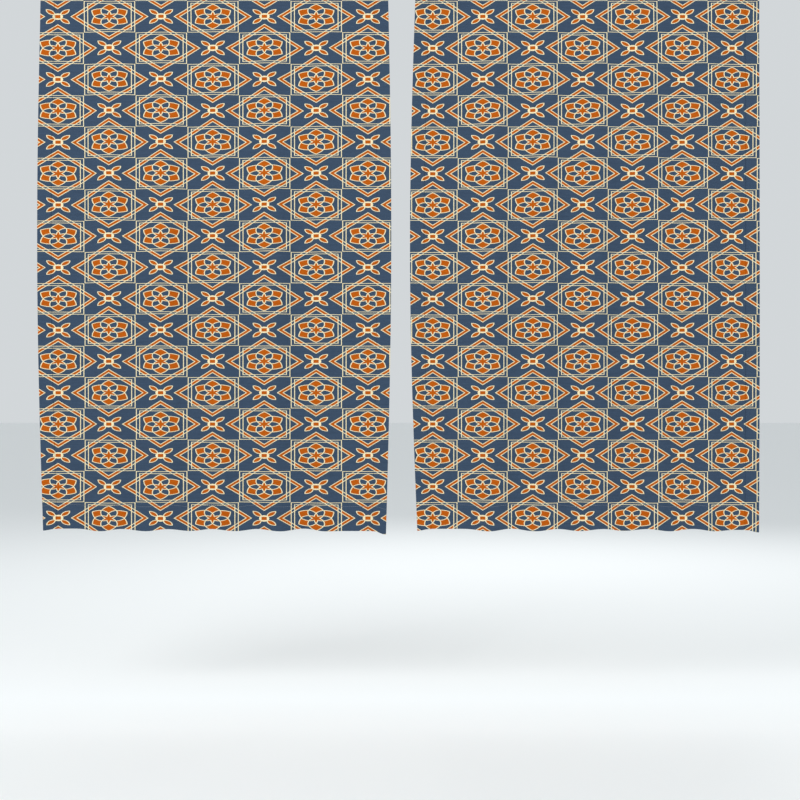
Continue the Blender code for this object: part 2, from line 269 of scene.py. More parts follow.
FLOWER_STEPS = [
    ("along_sum", "MULTIPLY", "sum", 0.5**0.5),
    ("along", "SUBTRACT", "along_sum", PETAL_FROM + HALF_SPAN),
    ("beside", "MULTIPLY", "apart", 0.5**0.5),
    ("bow", "ADD", "beside", BOW_R - PETAL_HALF),
    ("along_squared", "MULTIPLY", "along", "along"),
    ("bow_squared", "MULTIPLY", "bow", "bow"),
    ("bow_sum", "ADD", "along_squared", "bow_squared"),
    ("bow_root", "SQRT", "bow_sum"),
    ("leaf", "SUBTRACT", "bow_root", BOW_R),
    ("leaf_gap", "ABSOLUTE", "leaf"),
    ("leaf_line", "LESS_THAN", "leaf_gap", LINE / 2),
    ("leaf_inside", "LESS_THAN", "leaf", 0.0),
    ("eye", "LESS_THAN", "radius", 0.100),
    ("pip", "LESS_THAN", "widest", 0.052),
    ("not_pip", "SUBTRACT", 1.0, "pip"),
    ("eye_cream", "MULTIPLY", "eye", "not_pip"),
    ("flower_cream", "MAXIMUM", "leaf_line", "eye_cream"),
    ("flower_line", "MULTIPLY", "flower_cream", "flower_cell"),
    ("leaf_or_pip", "MAXIMUM", "leaf_inside", "pip"),
    ("flower_orange", "MULTIPLY", "leaf_or_pip", "flower_cell"),
]
PRINT_STEPS = [("x", "DIVIDE", "u", CELL_WIDTH), ("y", "DIVIDE", "v", CELL_HEIGHT)]
PRINT_STEPS += CELL_STEPS + DIAMOND_STEPS + FRAME_STEPS + ROSETTE_STEPS + FLOWER_STEPS
PRINT_STEPS += [
    ("orange_two", "MAXIMUM", "band_orange", "rosette_orange"),
    ("orange", "MAXIMUM", "orange_two", "flower_orange"),
    ("cream_two", "MAXIMUM", "diamond_line", "frame_line"),
    ("cream_three", "MAXIMUM", "cream_two", "rosette_line"),
    ("cream", "MAXIMUM", "cream_three", "flower_line"),
]
print(f"the print takes {len(PRINT_STEPS)} steps")

# %% [markdown]
# ## Printed plain-weave cotton
#
# The face is a light cotton with pigment ink on it: matt, with a faint sheen at grazing angles from
# the loose fibre ends. The reverse shows the same print as a ghost through the thread, so one function
# makes both and only the fade differs.
#
# Plain weave has a thread about every 0.4 mm. It is drawn as fine bumps that show only close up. What
# the eye catches from across a room is slub: threads a little thicker than their neighbours, which
# read as short soft streaks along the weft. The cloth's second map gives the distance from the nearest
# seam, and from it come the thread's stitches and the dimple that they pull.

# %% Cotton
SLATE, RUST, CREAM = "#394A5F", "#B65706", "#EDDFB6"
UNPRINTED = "#CFCBC0"
THREAD = "#6A7382"
SLUB_SCALE = (28.0, 340.0, 1.0)
THREAD_RATE = pi / 0.0004  # plain weave, a thread every 0.4 mm
STITCH_LENGTH, STITCH_PITCH, STITCH_WIDTH = 0.0030, 0.0037, 0.0006

THREAD_STEPS = [
    ("shade_by", "MULTIPLY_ADD", "slub", 0.46, 0.77),
    ("shade", "MINIMUM", "shade_by", 1.1),
    ("on_seam", "LESS_THAN", "seam_gap", STITCH_WIDTH / 2),
    ("in_stitch", "FLOORED_MODULO", "along_seam", STITCH_PITCH),
    ("stitched", "LESS_THAN", "in_stitch", STITCH_LENGTH),
    ("stitch", "MULTIPLY", "on_seam", "stitched"),
    ("warp_angle", "MULTIPLY", "u", THREAD_RATE),
    ("weft_angle", "MULTIPLY", "v", THREAD_RATE),
    ("warp_wave", "SINE", "warp_angle"),
    ("weft_wave", "SINE", "weft_angle"),
    ("threads", "MULTIPLY", "warp_wave", "weft_wave"),
    ("slub_height", "MULTIPLY_ADD", "slub", 0.00012, "dimple"),
    ("cloth_height", "MULTIPLY_ADD", "threads", 0.00003, "slub_height"),
    ("height", "MULTIPLY_ADD", "stitch", 0.00025, "cloth_height"),
]


def run_steps(tree, known, steps):
    """Add one Math node for each step, and keep every result under its name."""
    for name, operation, *terms in steps:
        inputs = {i: known[t] if isinstance(t, str) else t for i, t in enumerate(terms)}
        known[name] = add(tree, "ShaderNodeMath", inputs, operation=operation).outputs[0]


def cotton(name, fade):
    """Printed cotton; fade is how far the colours go toward unprinted thread."""
    material, shader = new_material(name, 0.88, Sheen_Weight=0.02, Sheen_Roughness=0.5)
    shader.inputs["Specular IOR Level"].default_value = 0.12
    tree = material.node_tree
    cloth_map = add(tree, "ShaderNodeUVMap", uv_map="cloth").outputs[0]
    seam_map = add(tree, "ShaderNodeUVMap", uv_map="seam").outputs[0]
    spot = add(tree, "ShaderNodeSeparateXYZ", {0: cloth_map})
    seam = add(tree, "ShaderNodeSeparateXYZ", {0: seam_map})
    known = {
        "u": spot.outputs[0],
        "v": spot.outputs[1],
        "along_seam": seam.outputs[0],
        "seam_gap": seam.outputs[1],
    }
    run_steps(tree, known, PRINT_STEPS)

    # slub: noise drawn out a dozen times along the weft and about 3 mm across it
    stretched = add(tree, "ShaderNodeMapping", {"Vector": cloth_map, "Scale": SLUB_SCALE})
    known["slub"] = add(
        tree,
        "ShaderNodeTexNoise",
        {"Vector": stretched.outputs[0], "Scale": 1.0, "Detail": 3.0, "Roughness": 0.6},
    ).outputs[0]
    known["dimple"] = add(
        tree,
        "ShaderNodeMapRange",
        {0: known["seam_gap"], 1: 0.0, 2: 0.0025, 3: -0.0004, 4: 0.0},
        interpolation_type="SMOOTHSTEP",
    ).outputs[0]
    run_steps(tree, known, THREAD_STEPS)

    ink = add(
        tree, "ShaderNodeMix", {0: known["orange"], 6: colour(SLATE), 7: colour(RUST)}, data_type="RGBA"
    )
    lined = add(
        tree, "ShaderNodeMix", {0: known["cream"], 6: ink.outputs[2], 7: colour(CREAM)}, data_type="RGBA"
    )
    tinted = add(
        tree, "ShaderNodeVectorMath", {0: lined.outputs[2], "Scale": known["shade"]}, operation="SCALE"
    )
    faded = add(
        tree, "ShaderNodeMix", {0: fade, 6: tinted.outputs[0], 7: colour(UNPRINTED)}, data_type="RGBA"
    )
    sewn = add(
        tree, "ShaderNodeMix", {0: known["stitch"], 6: faded.outputs[2], 7: colour(THREAD)}, data_type="RGBA"
    )
    bump = add(tree, "ShaderNodeBump", {"Height": known["height"], "Strength": 0.7, "Distance": 1.0})
    tree.links.new(sewn.outputs[2], shader.inputs["Base Color"])
    tree.links.new(bump.outputs[0], shader.inputs["Normal"])
    return material


COTTON_FACE = cotton("printed_plain_weave_cotton_face", 0.0)
COTTON_REVERSE = cotton("printed_plain_weave_cotton_reverse", 0.5)
print("cotton, face and reverse")

# %% [markdown]
# ## Metal and plastic finishes
#
# The rod is drawn steel tube, brushed along its length and plated with nickel, so its marks are long
# scratches along X. The brackets and finials are cast zinc, tumbled and plated the same colour: their
# marks run in no direction and are softer. The screws are bright zinc-plated steel. The plugs and
# anchors are grey polypropylene, and the collar and screw tips are white moulded nylon: both carry the
# faint orange-peel of a mould.
#
# All five are the same recipe with other numbers: a noise, scaled in each direction by the real size
# of the mark, that moves the roughness a little and gives a very low bump.

# %% Metals and plastics


def surface(name, code, metallic, roughness, marks, spread, depth):
    """A finish whose marks are so many millimetres long along X, Y and Z."""
    material, shader = new_material(name, roughness, metallic)
    shader.inputs["Base Color"].default_value = colour(code)
    tree = material.node_tree
    place = add(tree, "ShaderNodeTexCoord").outputs["Object"]
    scaled = add(
        tree, "ShaderNodeMapping", {"Vector": place, "Scale": [1000 / size for size in marks]}
    )
    noise = add(
        tree,
        "ShaderNodeTexNoise",
        {"Vector": scaled.outputs[0], "Scale": 1.0, "Detail": 4.0, "Roughness": 0.65},
    )
    rough = add(
        tree,
        "ShaderNodeMapRange",
        {0: noise.outputs[0], 1: 0.25, 2: 0.75, 3: roughness - spread, 4: roughness + spread},
    )
    bump = add(
        tree, "ShaderNodeBump", {"Height": noise.outputs[0], "Strength": 0.6, "Distance": depth}
    )
    tree.links.new(rough.outputs[0], shader.inputs["Roughness"])
    tree.links.new(bump.outputs[0], shader.inputs["Normal"])
    return material


# brushing scratches are 0.1 mm wide; 0.4 mm is as fine as shows
BRUSHED_NICKEL = surface("brushed_nickel_on_steel_tube", "#BDB7AC", 1.0, 0.30, (45, 0.4, 0.4), 0.08, 4e-5)
SATIN_NICKEL = surface("satin_nickel_on_cast_zinc", "#B9B3A8", 1.0, 0.33, (0.7, 0.7, 0.7), 0.05, 4e-5)
ZINC_PLATE = surface("bright_zinc_plated_steel", "#C3C6CA", 1.0, 0.24, (0.8, 0.8, 0.8), 0.05, 2e-5)
WHITE_NYLON = surface("white_moulded_nylon", "#E4E1D8", 0.0, 0.42, (0.9, 0.9, 0.9), 0.05, 5e-5)
GREY_POLY = surface("grey_moulded_polypropylene", "#8B8E90", 0.0, 0.50, (1.1, 1.1, 1.1), 0.06, 6e-5)
print("five finishes for the hardware")

# %% [markdown]
# ## Turned pieces
#
# Most of the hardware is round, made on a lathe or in a round die. Spinning a half section about its
# axis gives the same shape. A small bevel on every crisp edge catches the light the way a real broken
# edge does, and a real edge is never perfectly sharp.
#
# The spin leaves doubled points on the axis, which are merged. Then the faces are turned to point out.

# %% A lathe


def finished(mesh, name, material, body, slot, *nodes):
    """Put a mesh in the scene as a piece of a body that stands for some of the model's nodes."""
    piece = bpy.data.objects.new(name, mesh)
    bpy.context.scene.collection.objects.link(piece)
    if material is not None:
        mesh.materials.append(material)
    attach(piece, body)
    if nodes:
        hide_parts(*nodes)
    return piece


def spun(profile, place, along, steps=64):
    """A bmesh of a (radius, height) half section turned about the line through place. It is open
    where it starts and ends on the axis, and a closed loop otherwise."""
    shape = bmesh.new()
    points = [shape.verts.new((radius, 0, height)) for radius, height in profile]
    pairs = list(zip(points, points[1:]))
    if profile[0][0] > 0:
        pairs.append((points[-1], points[0]))
    edges = [shape.edges.new(pair) for pair in pairs]
    bmesh.ops.spin(
        shape,
        geom=points + edges,
        cent=(0, 0, 0),
        axis=(0, 0, 1),
        angle=2 * pi,
        steps=steps,
        use_merge=True,
    )
    bmesh.ops.remove_doubles(shape, verts=shape.verts, dist=0.00001)
    bmesh.ops.recalc_face_normals(shape, faces=shape.faces)
    turn = Vector((0, 0, 1)).rotation_difference(Vector(along)).to_matrix().to_4x4()
    shape.transform(Matrix.Translation(place) @ turn)
    return shape


def break_edges(shape, width, sharper_than=30):
    """Bevel every edge that turns by more than an angle, and shade the rest smooth."""
    crisp = [e for e in shape.edges if e.is_manifold and e.calc_face_angle() > radians(sharper_than)]
    bmesh.ops.bevel(
        shape,
        geom=crisp,
        offset=width,
        offset_type="OFFSET",
        affect="EDGES",
        segments=3,
        profile=0.5,
        material=-1,
        clamp_overlap=True,
    )
    for face in shape.faces:
        face.smooth = True


def to_mesh(shape, name):
    mesh = bpy.data.meshes.new(name)
    shape.to_mesh(mesh)
    shape.free()
    return mesh


def turned(name, profile, place, along, edge, finish, body, slot, *nodes, steps=64):
    """A finished piece from a half section: spun, its edges broken, in its finish."""
    shape = spun(profile, place, along, steps)
    break_edges(shape, edge)
    return finished(to_mesh(shape, name), name, finish, body, slot, *nodes)


# %% [markdown]
# ## The rod
#
# Two drawn tubes with 0.8 mm walls, the thinner one sliding in the thicker. Their lips are slightly
# rounded where they were cut and brushed. A white nylon collar is pressed on the mouth of the outer
# tube and steadies the inner one, whose hidden end carries a nylon guide.

# %% Tubes, collar and guide
WALL = 0.0008
CLEAR = 0.0003
ALONG = (1, 0, 0)
ROD_LINE = Vector((0, ROD.y, 0))


def tube_section(outer, inner, start, end):
    return [(outer, start), (outer, end), (inner, end), (inner, start)]


for node, body, radius in (
    ("outer_rod_tube", "rod", OUTER_R),
    ("inner_rod_tube", "extending_tube", INNER_R),
):
    section = tube_section(radius, radius - WALL, low(node).x, high(node).x)
    turned(
        f"{node}_drawn", section, ROD_LINE, ALONG, 0.00025, BRUSHED_NICKEL, body, "rod_metal", node, steps=96
    )

COLLAR_R = high("tube_mouth_collar").z
collar_start, collar_end = low("tube_mouth_collar").x, high("tube_mouth_collar").x
collar = tube_section(COLLAR_R, INNER_R + CLEAR, collar_start, collar_end)
turned(
    "mouth_collar", collar, ROD_LINE, ALONG, 0.0003, WHITE_NYLON, "rod", "collar_plastic", "tube_mouth_collar"
)
guide_start, guide_end = low("inner_tube_guide").x, high("inner_tube_guide").x
guide = [
    (0, guide_end),
    (INNER_R - WALL - CLEAR, guide_end),
    (INNER_R - WALL - CLEAR, guide_start + 0.004),
    (OUTER_R - WALL - CLEAR, guide_start + 0.004),
    (OUTER_R - WALL - CLEAR, guide_start),
    (0, guide_start),
]
turned(
    "sliding_guide",
    guide,
    ROD_LINE,
    ALONG,
    0.0004,
    WHITE_NYLON,
    "extending_tube",
    "collar_plastic",
    "inner_tube_guide",
)
print("rod", round(high("inner_rod_tube").x - low("outer_rod_tube").x, 3), "m over its tubes")

# %% [markdown]
# ## The finials
#
# Each end is closed by a cast ball on a waisted neck. A grey plug pushes into the tube, and a steel
# stud runs through plug, neck and ball. The ball's half circle is sampled finely enough that its edge
# stays round close up.

# %% Balls, necks, plugs and studs
STUD_R = 0.0025
HOLE_R = STUD_R + CLEAR
NECK_WAIST_R = 0.0065
FLAT_R = NECK_WAIST_R + 0.0015


def along_rod(node, sign):
    """A node's near and far ends as distances out from the middle of the rod."""
    ends = sorted((low(node).x * sign, high(node).x * sign))
    return ends[0], ends[1]


for side, sign in SIDES.items():

    def finial_piece(name, node, profile, edge, finish, slot, steps=64):
        place = (ROD_LINE, (sign, 0, 0), edge, finish, f"{side}_finial", slot, f"{side}_{node}")
        turned(f"{side}_{name}", profile, *place, steps=steps)

    start, end = along_rod(f"{side}_finial_plug", sign)
    plug_r = high(f"{side}_finial_plug").z
    ribs = [(plug_r - 0.0002 * (i % 2), end - (end - start) * i / 9) for i in range(10)]
    plug = ribs + [(HOLE_R, start), (HOLE_R, end)]
    finial_piece("push_plug", "finial_plug", plug, 0.0002, GREY_POLY, "insert_plastic")

    start, end = along_rod(f"{side}_finial_neck", sign)
    neck_r = high(f"{side}_finial_neck").z
    waist = [
        (NECK_WAIST_R + (neck_r - NECK_WAIST_R) * (1 - sin(pi / 2 * i / 6)), start + 0.003 + 0.002 * i / 6)
        for i in range(7)
    ]
    neck = [(HOLE_R, start), (neck_r, start), (neck_r, start + 0.0029), *waist]
    neck += [(NECK_WAIST_R, end - 0.002), (FLAT_R, end), (HOLE_R, end)]
    finial_piece("waisted_neck", "finial_neck", neck, 0.0003, SATIN_NICKEL, "finial_metal")

    start, end = along_rod(f"{side}_finial_ball", sign)
    ball_r = high(f"{side}_finial_ball").z
    last = pi - atan2(FLAT_R, (ball_r**2 - FLAT_R**2) ** 0.5)
    ball = [(0, end)] + [
        (ball_r * sin(last * i / 36), end - ball_r + ball_r * cos(last * i / 36)) for i in range(1, 37)
    ]
    ball += [(HOLE_R, start), (HOLE_R, start + 0.012), (0, start + 0.012)]
    finial_piece("cast_ball", "finial_ball", ball, 0.0003, SATIN_NICKEL, "finial_metal", steps=72)

    start, end = along_rod(f"{side}_finial_stud", sign)
    stud = [(0, start), (STUD_R, start), (STUD_R, end), (0, end)]
    finial_piece("steel_stud", "finial_stud", stud, 0.0003, ZINC_PLATE, "screw_steel", steps=32)
print("two finials, balls", round(ball_r * 2000), "mm across")

# %% [markdown]
# ## The brackets
#
# Each bracket is a domed plate screwed to the wall, a post, and an open cradle the rod drops into. The
# cradle is a small casting: a tall arm behind that meets the post, a low arm in front, rounded lower
# corners, and a round seat milled between the arms. Its two cross holes take the post's spigot and,
# tapped, the thumbscrew.
#
# Cutting is done with Boolean modifiers, as the machinist would with an end mill and drills. They are
# applied at once and the cutters thrown away, so the bevel can then run round the real edges.

# %% Cutting
BRACKET_X = {side: middle(f"{side}_cradle").x for side in SIDES}
PLATE_FACE = -low("left_wall_plate").y
POST_R = 0.0045
SPIGOT_R = 0.0030
SCREW_R, SCREW_HEAD_R, SCREW_HEAD_DEPTH = 0.0019, 0.0040, 0.0023
OUT = (0, -1, 0)


def cut(shape, *cutters):
    """A bmesh with each cutter taken out of it."""
    block = bpy.data.objects.new("block", to_mesh(shape, "block"))
    bpy.context.scene.collection.objects.link(block)
    tools = []
    for cutter in cutters:
        tool = bpy.data.objects.new("tool", to_mesh(cutter, "tool"))
        bpy.context.scene.collection.objects.link(tool)
        tools.append(tool)
        boolean = block.modifiers.new("Cut", "BOOLEAN")
        boolean.solver = "EXACT"
        boolean.operation = "DIFFERENCE"
        boolean.object = tool
    bpy.context.view_layer.update()
    done = block.evaluated_get(bpy.context.evaluated_depsgraph_get()).to_mesh()
    result = bmesh.new()
    result.from_mesh(done)
    bmesh.ops.remove_doubles(result, verts=result.verts, dist=0.00002)
    bmesh.ops.dissolve_degenerate(result, dist=0.00002, edges=result.edges)
    for spent in [block, *tools]:
        bpy.data.objects.remove(spent, do_unlink=True)
    return result


def drill(radius, start, end, place, along, steps=32):
    return spun([(0, start), (radius, start), (radius, end), (0, end)], place, along, steps)


# %% Cradles
FRONT_ARM_TOP = 0.016
SEAT_CLEAR = 0.0004
TAPPED_R = 0.0020
for side, sign in SIDES.items():
    node = f"{side}_cradle"
    centre = Vector((BRACKET_X[side], ROD.y, 0))
    size = high(node) - low(node)
    seat_r = END_R[side] + SEAT_CLEAR
    block = bmesh.new()
    bmesh.ops.create_cube(block, size=1)
    bmesh.ops.scale(block, verts=block.verts, vec=size)
    bmesh.ops.translate(block, verts=block.verts, vec=middle(node))
    lower = [
        edge
        for edge in block.edges
        if all(v.co.z < 0 for v in edge.verts) and abs(edge.verts[0].co.x - edge.verts[1].co.x) > 0.001
    ]
    bmesh.ops.bevel(
        block, geom=lower, offset=0.006, affect="EDGES", segments=8, profile=0.5, material=-1
    )
    seat = drill(seat_r, -0.02, 0.02, centre, ALONG, steps=64)
    mouth = bmesh.new()
    bmesh.ops.create_cube(mouth, size=1)
    bmesh.ops.scale(mouth, verts=mouth.verts, vec=(0.04, seat_r * 2, 0.06))
    bmesh.ops.translate(mouth, verts=mouth.verts, vec=centre + Vector((0, 0, 0.03)))
    post_line = centre + Vector((0, 0, middle(f"{side}_post").z))
    post_hole = drill(SPIGOT_R + CLEAR, seat_r - 0.002, seat_r + 0.008, post_line, (0, 1, 0))
    tapped_hole = drill(TAPPED_R + CLEAR, seat_r - 0.002, seat_r + 0.008, centre, OUT)
    above_front = bmesh.new()
    bmesh.ops.create_cube(above_front, size=1)
    bmesh.ops.scale(above_front, verts=above_front.verts, vec=(0.04, 0.03, 0.03))
    bmesh.ops.translate(
        above_front, verts=above_front.verts, vec=centre + Vector((0, -0.0151, FRONT_ARM_TOP + 0.015))
    )
    cradle = cut(block, above_front, mouth, seat, post_hole, tapped_hole)
    break_edges(cradle, 0.0004, sharper_than=40)
    name = f"{side}_cast_cradle"
    finished(to_mesh(cradle, name), name, SATIN_NICKEL, "wall_brackets", "bracket_metal", node)
print("cradles", [round(1000 * c, 1) for c in size], "mm")

# %% [markdown]
# ## Wall plates and posts
#
# The plate's face is very slightly domed and falls away in a round edge. Its two screw holes are
# countersunk, one above and one below the post.

# %% Plates and posts
SCREW_OFFSET = 0.016
for side in SIDES:
    node = f"{side}_wall_plate"
    place = Vector((BRACKET_X[side], 0, middle(node).z))
    plate_r = high(node).z - middle(node).z
    edge = [
        (plate_r - 0.0025 + 0.0025 * sin(pi / 2 * i / 6), PLATE_FACE - 0.0032 + 0.0025 * cos(pi / 2 * i / 6))
        for i in range(7)
    ]
    dome = [(plate_r * share, PLATE_FACE - 0.0007 * share**2) for share in (0, 0.2, 0.4, 0.6, 0.8)]
    plate = spun([*dome, *edge, (plate_r, 0), (0, 0)], place, OUT, steps=96)
    cutters = [drill(SPIGOT_R + CLEAR, -0.01, 0.02, place, OUT)]
    for height in (SCREW_OFFSET, -SCREW_OFFSET):
        where = place + Vector((0, 0, height))
        sink = [
            (0, PLATE_FACE + 0.002),
            (SCREW_HEAD_R + CLEAR, PLATE_FACE + 0.002),
            (SCREW_HEAD_R + CLEAR, PLATE_FACE - 0.0004),
            (SCREW_R + CLEAR, PLATE_FACE - 0.0004 - SCREW_HEAD_DEPTH),
            (SCREW_R + CLEAR, -0.002),
            (0, -0.002),
        ]
        cutters.append(spun(sink, where, OUT, steps=40))
    plate = cut(plate, *cutters)
    break_edges(plate, 0.00025, sharper_than=35)
    name = f"{side}_domed_plate"
    finished(to_mesh(plate, name), name, SATIN_NICKEL, "wall_brackets", "bracket_metal", node)

    node = f"{side}_post"
    tip = -low(node).y
    shoulder = tip - 0.003 + 2 * CLEAR
    foot = PLATE_FACE + CLEAR
    flare = [
        (POST_R + 0.003 * (1 - sin(pi / 2 * i / 6)), foot + 0.0015 + 0.0045 * i / 6) for i in range(7)
    ]
    post = [(0, 0.001), (SPIGOT_R, 0.001), (SPIGOT_R, foot), (POST_R + 0.003, foot), *flare]
    post += [(POST_R, shoulder), (SPIGOT_R, shoulder), (SPIGOT_R, tip), (0, tip)]
    turned(
        f"{side}_turned_post",
        post,
        place,
        OUT,
        0.0003,
        SATIN_NICKEL,
        "wall_brackets",
        "bracket_metal",
        node,
        steps=48,
    )
print("plates", round(plate_r * 2000), "mm across")

# %% [markdown]
# ## Screws and anchors
#
# A wood screw's head is flush, with a pressed cross. Its shank and the ribbed plastic anchor round it
# are in the wall, seen only from behind. The cross is two crossing wedges cut from the head.

# %% Wall screws
for side in SIDES:
    for level in ("upper", "lower"):
        node = f"{side}_{level}_wall_screw"
        where = Vector((BRACKET_X[side], 0, middle(node).z))
        head, point = -low(node).y, -high(node).y
        threads = [
            (SCREW_R - (0.0004 if i % 2 else 0), -0.002 + (point + 0.007) * i / 24) for i in range(25)
        ]
        screw = [(0, head), (SCREW_HEAD_R - 0.0003, head), (SCREW_HEAD_R, head - 0.0003)]
        screw += [(SCREW_R, head - SCREW_HEAD_DEPTH), *threads, (0, point)]
        blades = []
        for turn in (0, pi / 2):
            blade = bmesh.new()
            bmesh.ops.create_cone(
                blade, cap_ends=True, segments=4, radius1=0.0010, radius2=0.0022, depth=0.0018
            )
            bmesh.ops.rotate(blade, verts=blade.verts, cent=(0, 0, 0), matrix=Matrix.Rotation(pi / 4, 3, "Z"))
            bmesh.ops.scale(blade, verts=blade.verts, vec=(1.15, 0.32, 1))
            face_out = Vector((0, 0, 1)).rotation_difference(Vector(OUT)).to_matrix().to_4x4()
            seat = Matrix.Translation(where + Vector((0, -head + 0.0006, 0)))
            blade.transform(seat @ face_out @ Matrix.Rotation(turn + 0.3, 4, "Z"))
            blades.append(blade)
        screw = cut(spun(screw, where, OUT, steps=40), *blades)
        break_edges(screw, 0.00008, sharper_than=50)
        finished(
            to_mesh(screw, f"{side}_{level}_wood_screw"),
            f"{side}_{level}_wood_screw",
            ZINC_PLATE,
            "wall_brackets",
            "screw_steel",
            node,
        )

        node = f"{side}_{level}_wall_anchor"
        near, far = -low(node).y, -high(node).y
        anchor_r = high(node).z - where.z
        ribs = [
            (anchor_r - (0.0004 if i % 3 == 2 else 0), near + (far - near) * i / 21) for i in range(22)
        ]
        anchor = [*ribs, (SCREW_R + CLEAR, far), (SCREW_R + CLEAR, near)]
        turned(
            f"{side}_{level}_ribbed_anchor",
            anchor,
            where,
            OUT,
            0.0001,
            GREY_POLY,
            "wall_brackets",
            "anchor_plastic",
            node,
            steps=32,
        )
print("four wood screws in their anchors")

# %% [markdown]
# ## Thumbscrews
#
# A thumbscrew through each cradle's front arm bears on the rod with a nylon tip, which doesn't mark
# the plating. Its head is straight knurled so that dry fingers can grip it. The head is spun first,
# then its rim is drawn in and out round the axis, 24 times, and a chamfer at each end stays round.

# %% Thumbscrews and tips
THUMB_R, TEETH = 0.0020, 24
for side in SIDES:
    axis = Vector((BRACKET_X[side], ROD.y, 0))
    node = f"{side}_thumbscrew"
    head_r = high(node).z
    near = ROD.y - high(node).y
    far = ROD.y - low(node).y
    back = far - 0.007
    head = [
        (0, far - 0.0004),
        (head_r * 0.62, far - 0.0004),
        (head_r * 0.70, far),
        (head_r - 0.0008, far),
        (head_r, far - 0.0008),
        (head_r, back + 0.0015),
        (head_r - 0.0025, back),
        (THUMB_R, back),
    ]
    pitch = 0.00035
    threads = [
        (THUMB_R - (0.0002 if i % 2 else 0), back - 0.0004 - pitch * i)
        for i in range(int((back - 0.0004 - near) / pitch))
    ]
    screw = spun([*head, *threads, (THUMB_R - 0.0003, near), (0, near)], axis, OUT, steps=TEETH * 6)
    for vertex in screw.verts:
        arm = Vector((vertex.co.x - axis.x, 0, vertex.co.z))
        if arm.length > head_r - 0.0003:
            share = 1 - 0.045 * (0.5 + 0.5 * cos(TEETH * atan2(arm.z, arm.x)))
            vertex.co.x, vertex.co.z = axis.x + arm.x * share, arm.z * share
    for face in screw.faces:
        face.smooth = True
    finished(
        to_mesh(screw, f"{side}_knurled_thumbscrew"),
        f"{side}_knurled_thumbscrew",
        SATIN_NICKEL,
        f"{side}_thumbscrew",
        "thumbscrew_metal",
        node,
    )
    node = f"{side}_thumbscrew_tip"
    near, far = ROD.y - high(node).y, ROD.y - low(node).y
    tip_r = high(node).z
    tip = [(0, far), (tip_r, far), (tip_r, near), (0, near)]
    turned(
        f"{side}_nylon_tip",
        tip,
        axis,
        OUT,
        0.0003,
        WHITE_NYLON,
        f"{side}_screw_tip",
        "nylon_tip",
        node,
        steps=32,
    )
print("thumbscrews", round(head_r * 2000, 1), "mm across the knurl")

# %% [markdown]
# ## The cloth's shape
#
# A curtain with little fullness hangs almost flat. It keeps a row of soft folds that start at the
# pocket, where the cloth is crowded on the rod, and open out as they go down. The doubled side hems
# are stiffer than one layer and stay flat, and the bottom hem scallops a little and dips at its
# corners.
#
# A cloth simulation could find such folds. It would also move the edges, whose lean and swell are
# known, so the folds are a formula: a sine across the curtain with a slower one laid over it, eased to
# nothing at the side hems. Fine puckers fade out below the stitching, and a noise adds the creases
# that ironing leaves.

# %% The hang of a curtain
FOLD_DEPTH = 0.0068
FOLDS = 4.9
FOLD_PHASE = {"left": 0.4, "right": 2.1}
SCALLOP = 0.0022
SCALLOPS = 5.6
CORNERS = {"left": (0.003, 0.006), "right": (0.004, 0.003)}  # dips at the outer and leading corners
OUTER_FLAT, LEADING_FLAT, EASE_SHARE = 0.065, 0.125, 0.06  # shares of the width


def edge_x(edges, side, drop):
    at_rod, swell, lean = edges[side]
    return SIDES[side] * (at_rod + swell * sin(pi * drop) + lean * drop)


def smooth(share):
    share = min(1, max(0, share))
    return share * share * (3 - 2 * share)


def eased(across):
    """0 to 1 across the curtain, standing still over the side hems."""

    def ramp(share, flat):
        past = max(0, share - flat)
        return past * past / (2 * EASE_SHARE) if past < EASE_SHARE else past - EASE_SHARE / 2

    whole = ramp(0.5, OUTER_FLAT) + ramp(0.5, LEADING_FLAT)
    if across < 0.5:
        return ramp(across, OUTER_FLAT) / whole
    return 1 - ramp(1 - across, LEADING_FLAT) / whole


def looseness(across):
    """0 over the flat side hems, 1 where the cloth is free to pucker."""
    return smooth(min(across - OUTER_FLAT, 1 - across - LEADING_FLAT) / EASE_SHARE)


def across_at(side, x, drop):
    outer, leading = edge_x(OUTER_EDGE, side, drop), edge_x(LEADING_EDGE, side, drop)
    return (x - outer) / (leading - outer)


def hang(side, x, height):
    """How far the hanging cloth stands behind its mean plane, and how far it drops, at a place."""
    drop = height / HEM_Z
    across = across_at(side, x, drop)
    steady = eased(across)
    turn = 2 * pi * FOLDS * steady + FOLD_PHASE[side]
    grow = (0.22 + 0.78 * min(1, drop / 0.45)) * smooth((STITCH_Z - height) / 0.05)
    fold = FOLD_DEPTH * grow * (sin(turn) + 0.3 * sin(0.43 * turn + 1.0)) / 1.15
    loose = looseness(across)
    below = STITCH_Z - height
    pucker = 0.0007 * sin(2 * pi * x / 0.024 + 2 * sin(x * 31)) * exp(-below / 0.030) * smooth(below / 0.006)
    crease = 0.0016 * noise.noise(Vector((x * 11, 3.0, height * 4.5))) * smooth(below / 0.08)
    crease += 0.0006 * noise.noise(Vector((x * 40, 7.0, height * 9.0))) * smooth(below / 0.08)
    scallop = SCALLOP * sin(2 * pi * SCALLOPS * steady + FOLD_PHASE[side] + 1.2)
    outer_dip, leading_dip = CORNERS[side]
    dip = outer_dip * smooth((0.035 - across) / 0.035) + leading_dip * smooth((across - 0.965) / 0.035)
    return fold + loose * (pucker + crease), (scallop - dip) * drop**5


print("folds about", round(1000 * (0.62 / FOLDS)), "mm apart")

# %% [markdown]
# ## The cloth's path
#
# Seen from the side, one length of cloth makes the whole curtain: it starts behind the bottom hem,
# turns under, climbs the front, goes round the front of the rod, makes the frill, and comes down round
# the back to a turned-in end just below the pocket's stitching. Each point of that path keeps the
# cloth's own length, so the print runs on round every fold as it does on a real hem.

